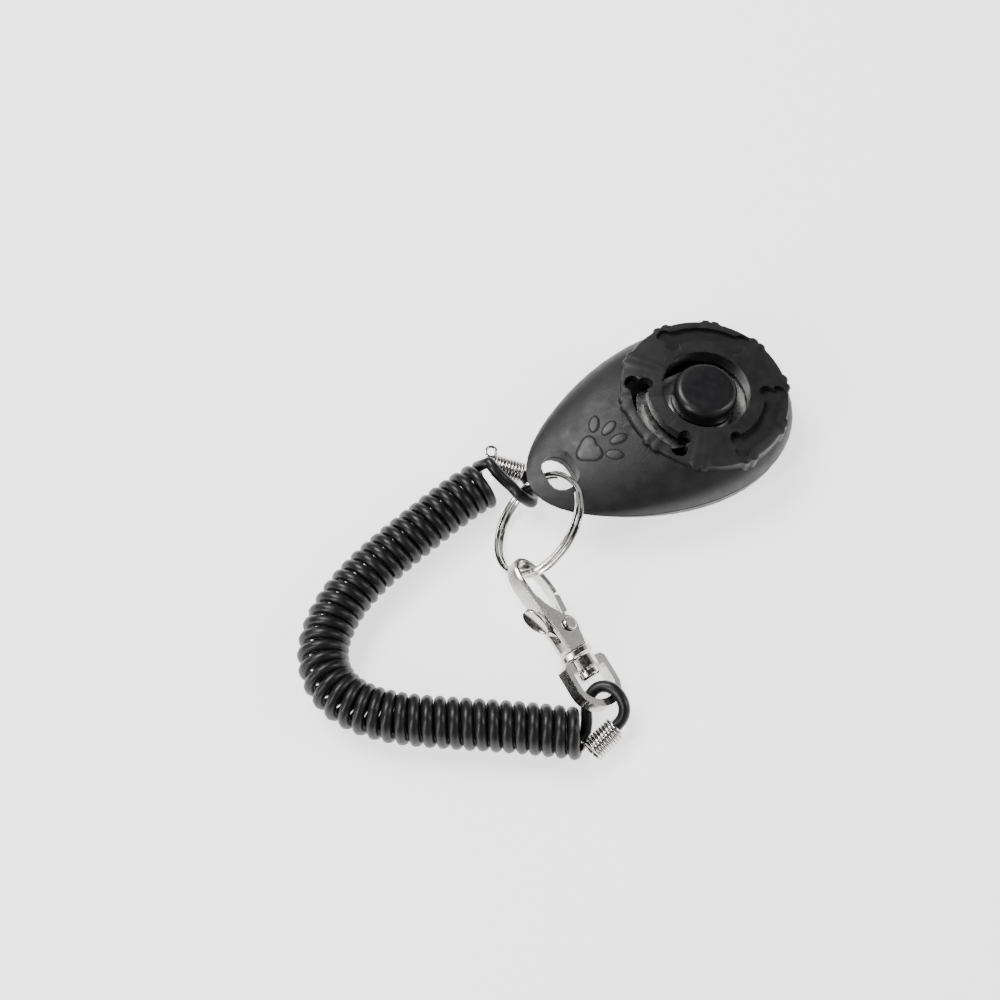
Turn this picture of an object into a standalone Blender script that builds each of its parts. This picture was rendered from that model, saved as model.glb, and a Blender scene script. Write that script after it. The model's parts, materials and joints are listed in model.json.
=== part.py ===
"""Clicker trainer: a hand clicker on a split ring, with a swivel snap hook and a coiled wrist strap.

Metres, +Z up. The origin is on the flat of the clicker's underside, below the middle of the button,
+X points to the clicker's wide end and the eyelet is at -X. The strap lies coiled beside it.
"""

import math

import bmesh
import bpy
from mathutils import Matrix, Vector

MM = 0.001
GAP = 0.3 * MM

# Clicker: the body is drawn in its own frame, whose XY plane is the top of the round disc.
DISC_HEIGHT = 17.2 * MM
CLICKER_PITCH = math.radians(5.9)
EGG_HALF_LENGTH = 33.0 * MM
EGG_MIDDLE_X = -11.0 * MM
EGG_HALF_WIDTH = 21.0 * MM
EGG_TAPER = 0.22
DOME_CENTRE_X = -8.0 * MM
SEAM_Z = -9.5 * MM
SEAM_SLOPE = 0.025
WALL = 1.8 * MM
EGG_STEPS = 56

DISC_RADIUS = 19.1 * MM
DISC_DEPTH = 5.0 * MM
BONES = 10
WELL_RADIUS = 10.0 * MM
SKIRT_RADIUS = 11.6 * MM
SKIRT_BOTTOM = -3.9 * MM
PLATE_ROOF = -2.8 * MM
SLOT_RADIUS = 15.2 * MM
SLOTS = ((182.0, 9.0 * MM, 9.4 * MM), (60.0, 1.9 * MM, 8.6 * MM), (-60.0, 1.9 * MM, 8.6 * MM))
EYELET_SECTIONS = (
    (-25.0 * MM, -37.4 * MM, 3.75 * MM, 5.0 * MM),
    (-13.0 * MM, -37.3 * MM, 3.7 * MM, 5.0 * MM),
    (-6.5 * MM, -36.5 * MM, 3.1 * MM, 4.75 * MM),
    (2.0 * MM, -36.5 * MM, 3.6 * MM, 5.2 * MM),
)
CASE_SCREWS = ((-25.0 * MM, 0.0), (6.0 * MM, 12.6 * MM), (6.0 * MM, -12.6 * MM))

BUTTON_RADIUS = 7.2 * MM
STRIP_TOP = -4.6 * MM
STRIP_THICKNESS = 0.4 * MM
STRIP_CLAMP_X = -16.9 * MM
STRIP_REACH_X = 11.5 * MM
STRIP_HALF_WIDTH = 8.6 * MM

# Split ring: a two-turn key ring that leans on the clicker's edge.
RING_CENTRE = Vector((-47.5, -8.0, 10.0)) * MM
RING_NORMAL = Vector((-0.543, 0.457, 0.705)).normalized()
RING_RADIUS = 12.15 * MM
RING_WIRE = 1.25 * MM
RING_RISE = 1.32 * MM
RING_STEP_ANGLE = math.radians(143.0)
RING_PIVOT = Vector((-45.37, 2.72, 4.7)) * MM

# Snap hook: its frame has +Y from the strap towards the eye and +X from the spine to the gate.
HOOK_TOP = Vector((-56.9, -12.7, 10.05)) * MM
HOOK_DOWN = Vector((0.080, -0.986, -0.145)).normalized()
HOOK_ROLL = math.radians(30.0)
LOOP_ROLL = math.radians(33.0)
LOOP_LEAN = math.radians(-4.0)
HOOK_BAND_ROUTE = (
    (-1.65, -24.6), (-1.65, -16.8), (-2.0, -10.2), (-2.2, -7.0), (-2.0, -4.4), (-1.1, -2.1), (0.7, -1.1),
    (2.4, -1.9), (3.5, -3.9), (4.1, -6.2), (4.4, -8.4), (4.45, -10.9),
)
BAND_THICKNESS = 1.3 * MM
BAND_WIDTH = 4.4 * MM
NOSE_WIDTH = 3.0 * MM
NOSE_END_Y = -10.9 * MM
TIP_SLANT = 0.5 * MM
GATE_PIVOT = (1.5 * MM, -18.7 * MM)
COLLAR_TOP_Y = -24.0 * MM
COLLAR_BOTTOM_Y = -25.9 * MM
COLLAR_RADIUS = 3.75 * MM
LOOP_BASE_TOP_Y = -26.2 * MM
LOOP_BASE_DEPTH = 2.7 * MM
LOOP_END_Y = -38.1 * MM
LOOP_HALF_WIDTH = 6.3 * MM
LOOP_DEPTH = 2.8 * MM
POST_HEAD_Y = -29.3 * MM

# Strap: a plastic cord wound as a long spring, with a looped and crimped end at each side.
COIL_RADIUS = 5.65 * MM
CORD_RADIUS = 1.2 * MM
CRIMP_WIRE_RADIUS = 0.33 * MM
CRIMP_RADIUS = 2.2 * MM
CRIMP_TURNS = 9
COIL_ROUTE = (
    (-51.2, 8.3), (-55.8, 8.1), (-62.0, 7.1), (-68.1, 5.8), (-74.3, 4.4), (-80.3, 2.9),
    (-86.1, 1.1), (-91.8, -1.4), (-97.0, -4.8), (-101.3, -9.4), (-103.4, -15.0), (-102.8, -20.8),
    (-99.9, -25.9), (-95.8, -30.1), (-91.2, -33.6), (-86.4, -36.8), (-81.6, -39.9),
    (-76.8, -43.0), (-72.0, -46.2), (-67.6, -49.3), (-63.7, -52.1),
)
LOOP_A_ROUTE = (
    (-49.5, 11.3, 9.5), (-49.3, 9.5, 9.6), (-48.9, 7.6, 9.0), (-48.2, 5.8, 8.1), (-47.4, 3.9, 7.4),
    (-46.9, 1.7, 7.0), (-45.9, 0.4, 5.9), (-44.7, -0.1, 4.2), (-43.6, 1.3, 2.5), (-42.7, 3.5, 1.6),
    (-42.2, 5.6, 1.9), (-42.6, 7.4, 2.6), (-43.8, 9.0, 3.1), (-45.1, 10.1, 3.4),
)
CRIMP_A = (Vector((-42.6, 7.9, 2.8)) * MM, Vector((-47.6, 12.4, 3.9)) * MM)
LOOP_B_ROUTE = (
    (-60.6, -56.3, 3.1), (-57.4, -55.4, 3.6), (-54.9, -54.6, 4.2), (-53.0, -53.9, 5.0),
    (-51.7, -52.4, 5.8), (-51.3, -50.1, 6.4), (-51.8, -47.8, 6.5), (-53.1, -46.2, 6.1),
    (-54.9, -45.7, 5.5), (-56.9, -46.5, 4.7), (-58.5, -48.3, 3.9), (-59.5, -50.2, 3.1), (-60.9, -52.2, 2.0),
)
CRIMP_B = (Vector((-55.3, -54.8, 3.9)) * MM, Vector((-62.0, -56.7, 2.9)) * MM)

BLACK_PLASTIC = ("black_plastic", (0.016, 0.016, 0.017), 0.5, 0.0)
BUTTON_PLASTIC = ("button_plastic", (0.02, 0.02, 0.021), 0.34, 0.0)
SPRING_STEEL = ("spring_steel", (0.72, 0.72, 0.70), 0.2, 1.0)
SCREW_STEEL = ("screw_steel", (0.5, 0.5, 0.5), 0.35, 1.0)
NICKEL = ("nickel_plate", (0.76, 0.74, 0.72), 0.16, 1.0)
CORD_PLASTIC = ("cord_plastic", (0.012, 0.012, 0.013), 0.28, 0.0)


def clear_scene():
    for old in list(bpy.data.objects):
        bpy.data.objects.remove(old, do_unlink=True)


def material(spec):
    """A Principled material, shared by every piece that names it."""
    name, colour, roughness, metallic = spec
    found = bpy.data.materials.get(name)
    if found:
        return found
    made = bpy.data.materials.new(name)
    made.use_nodes = True
    shader = made.node_tree.nodes["Principled BSDF"]
    shader.inputs["Base Color"].default_value = (*colour, 1.0)
    shader.inputs["Roughness"].default_value = roughness
    shader.inputs["Metallic"].default_value = metallic
    return made


def frame_matrix(origin, x_axis, y_axis):
    """A rigid frame from its origin and two of its axes."""
    z_axis = x_axis.cross(y_axis)
    turn = Matrix((x_axis, y_axis, z_axis)).transposed().to_4x4()
    return Matrix.Translation(origin) @ turn


def clicker_frame():
    return Matrix.Translation((0.0, 0.0, DISC_HEIGHT)) @ Matrix.Rotation(CLICKER_PITCH, 4, "Y")


def hook_frame(roll=HOOK_ROLL):
    """Frame of the snap hook: rolled about its long axis, spine high and gate low."""
    up_hook = -HOOK_DOWN
    level = Vector((1.0, 0.0, 0.0))
    level = (level - up_hook * level.dot(up_hook)).normalized()
    x_axis = (Matrix.Rotation(roll, 3, up_hook) @ level).normalized()
    return frame_matrix(HOOK_TOP, x_axis, up_hook)


def ring_axes():
    """The ring's level direction, its rising direction and its normal."""
    level = Vector((0.0, 0.0, 1.0)).cross(RING_NORMAL).normalized()
    return level, RING_NORMAL.cross(level), RING_NORMAL


def new_object(name, verts, faces, spec, frame=None):
    mesh = bpy.data.meshes.new(name)
    mesh.from_pydata([tuple(v) for v in verts], [], faces)
    work = bmesh.new()
    work.from_mesh(mesh)
    bmesh.ops.recalc_face_normals(work, faces=work.faces)
    work.to_mesh(mesh)
    work.free()
    piece = bpy.data.objects.new(name, mesh)
    bpy.context.scene.collection.objects.link(piece)
    piece.data.materials.append(material(spec))
    if frame is not None:
        piece.matrix_world = frame
    return piece


def combine(target, tool, operation):
    """Boolean the tool into the target, keep the result as the target's mesh and drop the tool."""
    step = target.modifiers.new("combine", "BOOLEAN")
    step.operation = operation
    step.object = tool
    bpy.context.view_layer.update()
    graph = bpy.context.evaluated_depsgraph_get()
    result = bpy.data.meshes.new_from_object(target.evaluated_get(graph), depsgraph=graph)
    target.modifiers.clear()
    target.data = result
    bpy.data.objects.remove(tool, do_unlink=True)
    return target


def add(target, tool):
    return combine(target, tool, "UNION")


def cut(target, tool):
    return combine(target, tool, "DIFFERENCE")


def smooth(piece, degrees=35.0):
    piece.data.shade_smooth()
    piece.data.set_sharp_from_angle(angle=math.radians(degrees))
    return piece


def set_origin(piece, point):
    """Move the piece's origin to a world point and leave its shape where it is."""
    bpy.context.view_layer.update()
    local = piece.matrix_world.inverted() @ point
    piece.data.transform(Matrix.Translation(-local))
    piece.matrix_world = piece.matrix_world @ Matrix.Translation(local)
    return piece


def loft(name, rings, spec, frame=None, closed=False):
    """Skin over rings of equal count; the two ends are capped unless the loft closes on itself."""
    count = len(rings[0])
    verts = [point for ring in rings for point in ring]
    faces = []
    last = len(rings) if closed else len(rings) - 1
    for i in range(last):
        low = i * count
        high = ((i + 1) % len(rings)) * count
        for j in range(count):
            k = (j + 1) % count
            faces.append((low + j, low + k, high + k, high + j))
    if not closed:
        faces.append(tuple(range(count)))
        faces.append(tuple(range((len(rings) - 1) * count, len(rings) * count)))
    return new_object(name, verts, faces, spec, frame)


def prism(name, outline, z_low, z_high, spec, frame=None):
    rings = [[(x, y, z) for x, y in outline] for z in (z_low, z_high)]
    return loft(name, rings, spec, frame)


def lathe(name, profile, spec, frame=None, steps=32, centre=(0.0, 0.0)):
    """Turn an open (radius, z) profile about local Z; both ends are closed by flat discs."""
    rings = []
    for radius, z in profile:
        ring = []
        for i in range(steps):
            angle = 2.0 * math.pi * i / steps
            ring.append((centre[0] + radius * math.cos(angle), centre[1] + radius * math.sin(angle), z))
        rings.append(ring)
    return loft(name, rings, spec, frame)


def cylinder(name, radius, z_low, z_high, spec, frame=None, centre=(0.0, 0.0), steps=32):
    return lathe(name, ((radius, z_low), (radius, z_high)), spec, frame, steps, centre)


def box(name, low, high, spec, frame=None):
    outline = ((low[0], low[1]), (high[0], low[1]), (high[0], high[1]), (low[0], high[1]))
    return prism(name, outline, low[2], high[2], spec, frame)


def smooth_path(points, steps):
    """Points along a Catmull-Rom curve through the given points."""
    knots = [2.0 * points[0] - points[1], *points, 2.0 * points[-1] - points[-2]]
    path = []
    for i in range(1, len(knots) - 2):
        before, here, there, after = knots[i - 1:i + 3]
        for s in range(steps):
            t = s / steps
            path.append(0.5 * (2.0 * here + (there - before) * t
                               + (2.0 * before - 5.0 * here + 4.0 * there - after) * t * t
                               + (3.0 * here - before - 3.0 * there + after) * t ** 3))
    path.append(points[-1].copy())
    return path


def tube(name, path, radius, spec, resolution=2):
    """A round tube: a curve object with a bevel depth and filled caps."""
    data = bpy.data.curves.new(name, "CURVE")
    data.dimensions = "3D"
    data.bevel_depth = radius
    data.bevel_resolution = resolution
    data.use_fill_caps = True
    spline = data.splines.new("POLY")
    spline.points.add(len(path) - 1)
    for slot, point in zip(spline.points, path):
        slot.co = (*point, 1.0)
    data.materials.append(material(spec))
    piece = bpy.data.objects.new(name, data)
    bpy.context.scene.collection.objects.link(piece)
    return piece


def sweep(name, path, sides, ups, section, spec, frame=None):
    """Carry a section along a path; section(i) gives (side, up) offsets at path point i."""
    rings = []
    for i, (point, side, up) in enumerate(zip(path, sides, ups)):
        rings.append([point + side * u + up * v for u, v in section(i)])
    return loft(name, rings, spec, frame)


def chamfered(half_u, half_v, chamfer):
    """A rectangle with cut corners, as eight points."""
    u, v = half_u - chamfer, half_v - chamfer
    return [(half_u, -v), (half_u, v), (u, half_v), (-u, half_v),
            (-half_u, v), (-half_u, -v), (-u, -half_v), (u, -half_v)]


def egg_point(angle, inset):
    """A point of the clicker's plan outline, moved inwards by inset."""
    c, s = math.cos(angle), math.sin(angle)
    x = EGG_MIDDLE_X + EGG_HALF_LENGTH * c
    y = EGG_HALF_WIDTH * s * (1.0 + EGG_TAPER * c)
    dx = -EGG_HALF_LENGTH * s
    dy = EGG_HALF_WIDTH * (c + EGG_TAPER * (c * c - s * s))
    length = math.hypot(dx, dy)
    return x - inset * dy / length, y + inset * dx / length


def seam_z(x):
    """Height of the parting line, which climbs a little towards the wide end."""
    return SEAM_Z + SEAM_SLOPE * x


def crown_z(x):
    """Height of the body's top ridge along its length."""
    return -1.2 * MM - 4.8 * (x + 3.0 * MM) ** 2


def belly_z(x):
    """Depth of the body's keel along its length."""
    return min(-18.4 * MM + 5.0 * (x + 2.0 * MM) ** 2, -12.3 * MM)


def floor_z(x):
    """Where the table lies in the clicker's frame."""
    return -(DISC_HEIGHT - x * math.sin(CLICKER_PITCH)) / math.cos(CLICKER_PITCH)


def under_z(x):
    """Underside of the lower cover along its keel, once it is flattened to stand."""
    return max(belly_z(x), floor_z(x))


def fullness(x):
    """How square the body's cross section is: softer towards the eyelet."""
    t = min(max((x + 40.0 * MM) / (38.0 * MM), 0.0), 1.0)
    return 2.4 + 2.4 * t * t * (3.0 - 2.0 * t)


def bulge(r, x):
    return max(1.0 - r ** fullness(x), 0.0) ** 0.45


def egg_solid(name, inset, offset, height, shares, steps=EGG_STEPS):
    """A closed half-egg: flat beside the seam, with height(x, share) over each inner ring."""
    rings = []
    for share in shares:
        ring = []
        for i in range(steps):
            px, py = egg_point(2.0 * math.pi * i / steps, inset)
            x = DOME_CENTRE_X + (px - DOME_CENTRE_X) * share
            ring.append((x, py * share, seam_z(x) + offset if share == 1.0 else height(x, share)))
        rings.append(ring)
    return loft(name, rings, BLACK_PLASTIC, clicker_frame())


def bone_outline(half_length, half_width, lobe, offset, steps=6):
    """A straight dog bone: a bar with two round lobes at each end."""
    start = math.pi - math.asin((half_width - offset) / lobe)
    stop = -math.asin(offset / lobe)
    quarter = []
    for i in range(steps + 1):
        angle = start + (stop - start) * i / steps
        quarter.append((half_length + lobe * math.cos(angle), offset + lobe * math.sin(angle)))
    right = quarter + [(x, -y) for x, y in reversed(quarter[:-1])]
    left = [(-x, -y) for x, y in right]
    return right + left


def bent_bone(half_length, half_width, lobe, offset, radius, middle, shaft_steps=5):
    """The dog bone bent round the disc at the given radius, centred on the angle middle."""
    straight = bone_outline(half_length, half_width, lobe, offset)
    outline = []
    for (x0, y0), (x1, y1) in zip(straight, straight[1:] + straight[:1]):
        steps = shaft_steps if abs(x1 - x0) > half_length else 1
        for i in range(steps):
            u = x0 + (x1 - x0) * i / steps
            v = y0 + (y1 - y0) * i / steps
            angle = middle - u / radius
            outline.append(((radius + v) * math.cos(angle), (radius + v) * math.sin(angle)))
    return outline


def disc_outline(radius):
    """The disc's rim: ten bone shafts end to end, with a pair of small knobs at each joint."""
    outline = []
    steps = 22
    for joint in range(BONES):
        for i in range(steps):
            share = i / steps
            angle = 2.0 * math.pi * (joint + 0.5 + share) / BONES
            from_joint = min(share, 1.0 - share) * 2.0 * math.pi / BONES * radius
            across = (from_joint - 1.05 * MM) / (1.15 * MM)
            knob = 0.7 * MM * math.sqrt(max(0.0, 1.0 - across * across))
            outline.append(((radius + knob) * math.cos(angle), (radius + knob) * math.sin(angle)))
    return outline


def stadium(centre_x, half_width, half_length, z, steps=8):
    """An oval with straight sides, long in Y, at one height."""
    straight = half_length - half_width
    ring = []
    for side in (1.0, -1.0):
        for i in range(steps + 1):
            angle = math.pi * i / steps
            ring.append((centre_x + side * half_width * math.cos(angle),
                         side * (straight + half_width * math.sin(angle)), z))
    return ring


def eyelet_cutter():
    """The eyelet's hole, flared below towards the tip so the ring can lean in it."""
    rings = [stadium(x, half_width, half_length, z) for z, x, half_width, half_length in EYELET_SECTIONS]
    return loft("eyelet_cutter", rings, BLACK_PLASTIC, clicker_frame())


def disc():
    """The round bone-edged disc, its top face falling away a little towards the rim."""
    profile = ((1.0, -DISC_DEPTH), (1.0, -1.5 * MM), (0.985, -1.15 * MM), (0.93, -0.9 * MM), (0.8, -0.45 * MM),
               (0.55, 0.0))
    rings = [[(x * share, y * share, z) for x, y in disc_outline(DISC_RADIUS)] for share, z in profile]
    return loft("disc", rings, BLACK_PLASTIC, clicker_frame())


def top_cover():
    """Upper shell with the round disc, the button well, three bone slots and the eyelet."""
    frame = clicker_frame()

    def outer(x, share):
        return seam_z(x) + (crown_z(x) - seam_z(x)) * bulge(share, x)

    def inner(x, share):
        roof = seam_z(x) + (crown_z(x) - 2.0 * MM - seam_z(x)) * bulge(share, x)
        return min(roof, PLATE_ROOF)

    shares = (1.0, 0.985, 0.955, 0.91, 0.84, 0.74, 0.6, 0.4, 0.15)
    shell = egg_solid("top_cover", 0.0, GAP / 2.0, outer, shares)
    add(shell, disc())
    hollow = egg_solid("hollow", WALL, -MM, inner, (1.0, 0.97, 0.9, 0.75, 0.5, 0.2), 40)
    cut(hollow, box("nose_block", (-50.0 * MM, -25.0 * MM, -20.0 * MM),
                    (-28.5 * MM, 25.0 * MM, 5.0 * MM), BLACK_PLASTIC, frame))
    cut(shell, hollow)
    cut(shell, box("strip_room", (STRIP_CLAMP_X - 2.4 * MM, -4.0 * MM, SEAM_Z - MM),
                   (0.0, 4.0 * MM, STRIP_TOP + 1.6 * MM), BLACK_PLASTIC, frame))
    cut(shell, cylinder("disc_hollow", DISC_RADIUS - 2.2 * MM, SEAM_Z - MM, PLATE_ROOF, BLACK_PLASTIC, frame,
                        steps=48))
    add(shell, cylinder("skirt", SKIRT_RADIUS, SKIRT_BOTTOM, -1.0 * MM, BLACK_PLASTIC, frame, steps=48))
    for centre in CASE_SCREWS:
        low = seam_z(centre[0]) + GAP / 2.0
        roof = min(PLATE_ROOF + 0.5 * MM, crown_z(centre[0]) - MM)
        add(shell, cylinder("boss", 2.6 * MM, low, roof, BLACK_PLASTIC, frame, centre, 16))
        cut(shell, cylinder("pilot", 1.25 * MM, low - MM, -5.6 * MM, BLACK_PLASTIC, frame, centre, 12))
    cut(shell, cylinder("well", WELL_RADIUS, -8.0 * MM, MM, BLACK_PLASTIC, frame, steps=48))
    for degrees, depth, reach in SLOTS:
        slot = bent_bone(reach, 1.9 * MM, 1.75 * MM, 1.5 * MM, SLOT_RADIUS, math.radians(degrees))
        cut(shell, prism("slot", slot, -depth, MM, BLACK_PLASTIC, frame))
    cut(shell, eyelet_cutter())
    return smooth(shell)


def bottom_cover():
    """Lower shell with a flat to stand on, the screw posts and the pedestal of the click strip."""
    frame = clicker_frame()

    def outer(x, share):
        return seam_z(x) + (belly_z(x) - seam_z(x)) * bulge(share, x)

    def inner(x, share):
        keel = seam_z(x) + (belly_z(x) + 1.8 * MM - seam_z(x)) * bulge(share, x)
        return max(keel, floor_z(x) + 1.8 * MM)

    shares = (1.0, 0.985, 0.955, 0.91, 0.84, 0.74, 0.6, 0.4, 0.15)
    shell = egg_solid("bottom_cover", 0.0, -GAP / 2.0, outer, shares)
    slab = box("table", (-80.0 * MM, -40.0 * MM, -20.0 * MM), (60.0 * MM, 40.0 * MM, 0.0), BLACK_PLASTIC)
    cut(shell, slab)
    hollow = egg_solid("hollow", WALL, MM, inner, (1.0, 0.97, 0.9, 0.75, 0.5, 0.2), 40)
    cut(hollow, box("nose_block", (-50.0 * MM, -25.0 * MM, -25.0 * MM),
                    (-28.5 * MM, 25.0 * MM, 5.0 * MM), BLACK_PLASTIC, frame))
    cut(shell, hollow)
    for centre in CASE_SCREWS:
        low = under_z(centre[0]) + 0.9 * MM
        high = seam_z(centre[0]) - 1.5 * GAP
        add(shell, cylinder("post", 3.4 * MM, low, high, BLACK_PLASTIC, frame, centre, 16))
        cut(shell, cylinder("through", 1.4 * MM, -25.0 * MM, 0.0, BLACK_PLASTIC, frame, centre, 12))
        head_top = under_z(centre[0]) + 3.2 * MM
        cut(shell, cylinder("recess", 2.4 * MM, -25.0 * MM, head_top, BLACK_PLASTIC, frame, centre, 16))
    pedestal_low = under_z(STRIP_CLAMP_X) + 1.4 * MM
    pedestal_top = STRIP_TOP - STRIP_THICKNESS - GAP
    add(shell, box("pedestal", (STRIP_CLAMP_X - 2.2 * MM, -4.5 * MM, pedestal_low),
                   (STRIP_CLAMP_X + 1.0 * MM, 4.5 * MM, pedestal_top), BLACK_PLASTIC, frame))
    hole = (STRIP_CLAMP_X - 0.3 * MM, 0.0)
    cut(shell, cylinder("strip_hole", 1.1 * MM, pedestal_top - 3.6 * MM, 0.0, BLACK_PLASTIC, frame, hole, 12))
    cut(shell, eyelet_cutter())
    return smooth(shell)


def case_screw(index, centre):
    """Self-tapping screw that holds the covers together, driven from the underside."""
    head = under_z(centre[0]) + 3.2 * MM - GAP
    profile = ((1.9 * MM, head - 1.5 * MM), (1.9 * MM, head), (0.95 * MM, head), (0.95 * MM, -6.2 * MM),
               (0.35 * MM, -5.9 * MM))
    piece = lathe(f"case_screw_{index}", profile, SCREW_STEEL, clicker_frame(), 20, centre)
    slot_a = box("cross", (centre[0] - 1.1 * MM, -0.22 * MM + centre[1], head - 3.0 * MM),
                 (centre[0] + 1.1 * MM, 0.22 * MM + centre[1], head - 0.8 * MM), SCREW_STEEL, clicker_frame())
    cut(piece, slot_a)
    slot_b = box("cross", (centre[0] - 0.22 * MM, centre[1] - 1.1 * MM, head - 3.0 * MM),
                 (centre[0] + 0.22 * MM, centre[1] + 1.1 * MM, head - 0.8 * MM), SCREW_STEEL, clicker_frame())
    cut(piece, slot_b)
    return smooth(piece)


def button():
    """Round push button with a stem that snaps through the click strip."""
    strip_bottom = STRIP_TOP - STRIP_THICKNESS
    profile = [(1.8 * MM, strip_bottom - GAP - 0.9 * MM), (2.6 * MM, strip_bottom - GAP - 0.3 * MM),
               (2.6 * MM, strip_bottom - GAP), (1.5 * MM, strip_bottom - GAP),
               (1.5 * MM, STRIP_TOP + GAP), (3.2 * MM, STRIP_TOP + GAP), (3.2 * MM, STRIP_TOP + 0.7 * MM),
               (BUTTON_RADIUS, STRIP_TOP + 0.7 * MM)]
    rim = 1.7 * MM
    top = 0.5 * MM
    for i in range(7):
        angle = math.pi / 2.0 * i / 6
        profile.append((BUTTON_RADIUS - rim + rim * math.cos(angle), top - rim + rim * math.sin(angle)))
    profile.append((3.0 * MM, top + 0.12 * MM))
    return smooth(lathe("button", profile, BUTTON_PLASTIC, clicker_frame(), 48))


def click_strip():
    """Spring-steel strip across the well, clamped at its eyelet end and pierced for the button."""
    steps = 40
    hole = 1.9 * MM
    taper = math.radians(150.0)
    sides = [(0.0, STRIP_REACH_X), (math.pi / 2.0, STRIP_HALF_WIDTH), (-math.pi / 2.0, STRIP_HALF_WIDTH),
             (math.pi, 2.0 * MM - STRIP_CLAMP_X), (taper, 15.0 * MM), (-taper, 15.0 * MM)]

    def edge(angle):
        """The strip's rim in a direction from the button's axis."""
        facing = [(math.cos(angle - turn), distance) for turn, distance in sides]
        return min(distance / c for c, distance in facing if c > 0.01)

    rings = []
    for level, shares in ((STRIP_TOP, (0.0, 0.35, 1.0)), (STRIP_TOP - STRIP_THICKNESS, (1.0, 0.35, 0.0))):
        for share in shares:
            ring = []
            for i in range(steps):
                angle = 2.0 * math.pi * (i + 0.5) / steps
                radius = hole + (edge(angle) - hole) * share
                ring.append((radius * math.cos(angle), radius * math.sin(angle), level))
            rings.append(ring)
    strip = loft("click_strip", rings, SPRING_STEEL, clicker_frame(), closed=True)
    cut(strip, cylinder("clamp_hole", 1.25 * MM, -8.0 * MM, 0.0, SPRING_STEEL, clicker_frame(),
                        (STRIP_CLAMP_X - 0.3 * MM, 0.0), 16))
    return set_origin(strip, clicker_frame() @ Vector((STRIP_CLAMP_X, 0.0, STRIP_TOP - STRIP_THICKNESS / 2)))


def strip_screw():
    """Small pan screw that clamps the click strip to its pedestal."""
    profile = ((0.3 * MM, STRIP_TOP - 3.9 * MM), (0.8 * MM, STRIP_TOP - 3.5 * MM), (0.8 * MM, STRIP_TOP + GAP),
               (1.5 * MM, STRIP_TOP + GAP), (1.5 * MM, STRIP_TOP + 0.7 * MM), (1.1 * MM, STRIP_TOP + 0.95 * MM))
    return smooth(lathe("strip_screw", profile, SCREW_STEEL, clicker_frame(), 20, (STRIP_CLAMP_X - 0.3 * MM, 0.0)))


def split_ring():
    """Two turns of wire side by side that step over each other near the eyelet."""
    level, rising, normal = ring_axes()
    half_step = math.radians(28.0)
    start = RING_STEP_ANGLE + half_step
    sweep_angle = 4.0 * math.pi - 2.0 * half_step
    steps = 84
    path, sides, ups = [], [], []
    for i in range(steps + 1):
        angle = start + sweep_angle * i / steps
        turned = angle - start - (math.pi * 2.0 - 2.0 * half_step)
        t = min(max(turned / (2.0 * half_step), 0.0), 1.0)
        lift = RING_RISE * (t * t * (3.0 - 2.0 * t) - 0.5)
        outward = level * math.cos(angle) + rising * math.sin(angle)
        path.append(RING_CENTRE + outward * RING_RADIUS + normal * lift)
        sides.append(outward)
        ups.append(normal)
    half = RING_WIRE / 2.0
    ring = sweep("split_ring", path, sides, ups, lambda i: chamfered(half, half, 0.42 * MM), NICKEL)
    return set_origin(smooth(ring, 50.0), RING_PIVOT)


def hook_body():
    """Cast hook: spine, eye and nose as one band, two cheeks for the gate, and the collar."""
    frame = hook_frame()
    along = frame @ Matrix.Rotation(math.radians(-90.0), 4, "X")
    path = smooth_path([Vector((x, y, 0.0)) * MM for x, y in HOOK_BAND_ROUTE], 2)
    last = len(path) - 1
    sides = []
    for i in range(len(path)):
        ahead = path[min(i + 1, last)] - path[max(i - 1, 0)]
        sides.append(Vector((ahead.y, -ahead.x, 0.0)).normalized())
    up = Vector((0.0, 0.0, 1.0))

    def section(i):
        share = min(max((i / last - 0.3) / 0.4, 0.0), 1.0)
        width = BAND_WIDTH + (NOSE_WIDTH - BAND_WIDTH) * share
        return chamfered(BAND_THICKNESS / 2.0, width / 2.0, 0.4 * MM)

    body = sweep("hook_body", path, sides, [up] * len(path), section, NICKEL, frame)
    px, py = GATE_PIVOT
    cheek = [(-2.1 * MM, -9.8 * MM), (-1.4 * MM, -10.4 * MM), (-0.9 * MM, -12.0 * MM), (-0.1 * MM, -13.4 * MM),
             (0.9 * MM, -14.8 * MM)]
    for i in range(6):
        angle = math.radians(80.0 - 20.0 * i)
        cheek.append((px + 2.4 * MM * math.cos(angle), py + 2.4 * MM * math.sin(angle)))
    cheek += [(3.3 * MM, -20.8 * MM), (2.4 * MM, COLLAR_TOP_Y - 0.3 * MM), (-2.1 * MM, COLLAR_TOP_Y - 0.3 * MM)]
    for low, high in ((1.3 * MM, 2.2 * MM), (-2.2 * MM, -1.3 * MM)):
        add(body, prism("cheek", cheek, low, high, NICKEL, frame))
    add(body, lathe("collar", ((3.3 * MM, COLLAR_BOTTOM_Y), (COLLAR_RADIUS, COLLAR_BOTTOM_Y + 0.3 * MM),
                               (COLLAR_RADIUS, COLLAR_TOP_Y - 0.5 * MM), (3.0 * MM, COLLAR_TOP_Y)),
                    NICKEL, along, 32))
    cut(body, box("lever_slot", (-4.0 * MM, py - 4.4 * MM, -1.15 * MM), (-0.6 * MM, py + 5.5 * MM, 1.15 * MM),
                  NICKEL, frame))
    cut(body, cylinder("pin_bore", 0.95 * MM, -4.0 * MM, 4.0 * MM, NICKEL, frame, GATE_PIVOT, 20))
    cut(body, cylinder("post_bore", 1.45 * MM, COLLAR_BOTTOM_Y - MM, COLLAR_TOP_Y + MM, NICKEL, along, steps=20))
    return set_origin(smooth(body), frame @ Vector((0.9 * MM, -3.9 * MM, 0.0)))


def gate_point(dx, dy):
    return GATE_PIVOT[0] + dx * MM, GATE_PIVOT[1] + dy * MM


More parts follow.
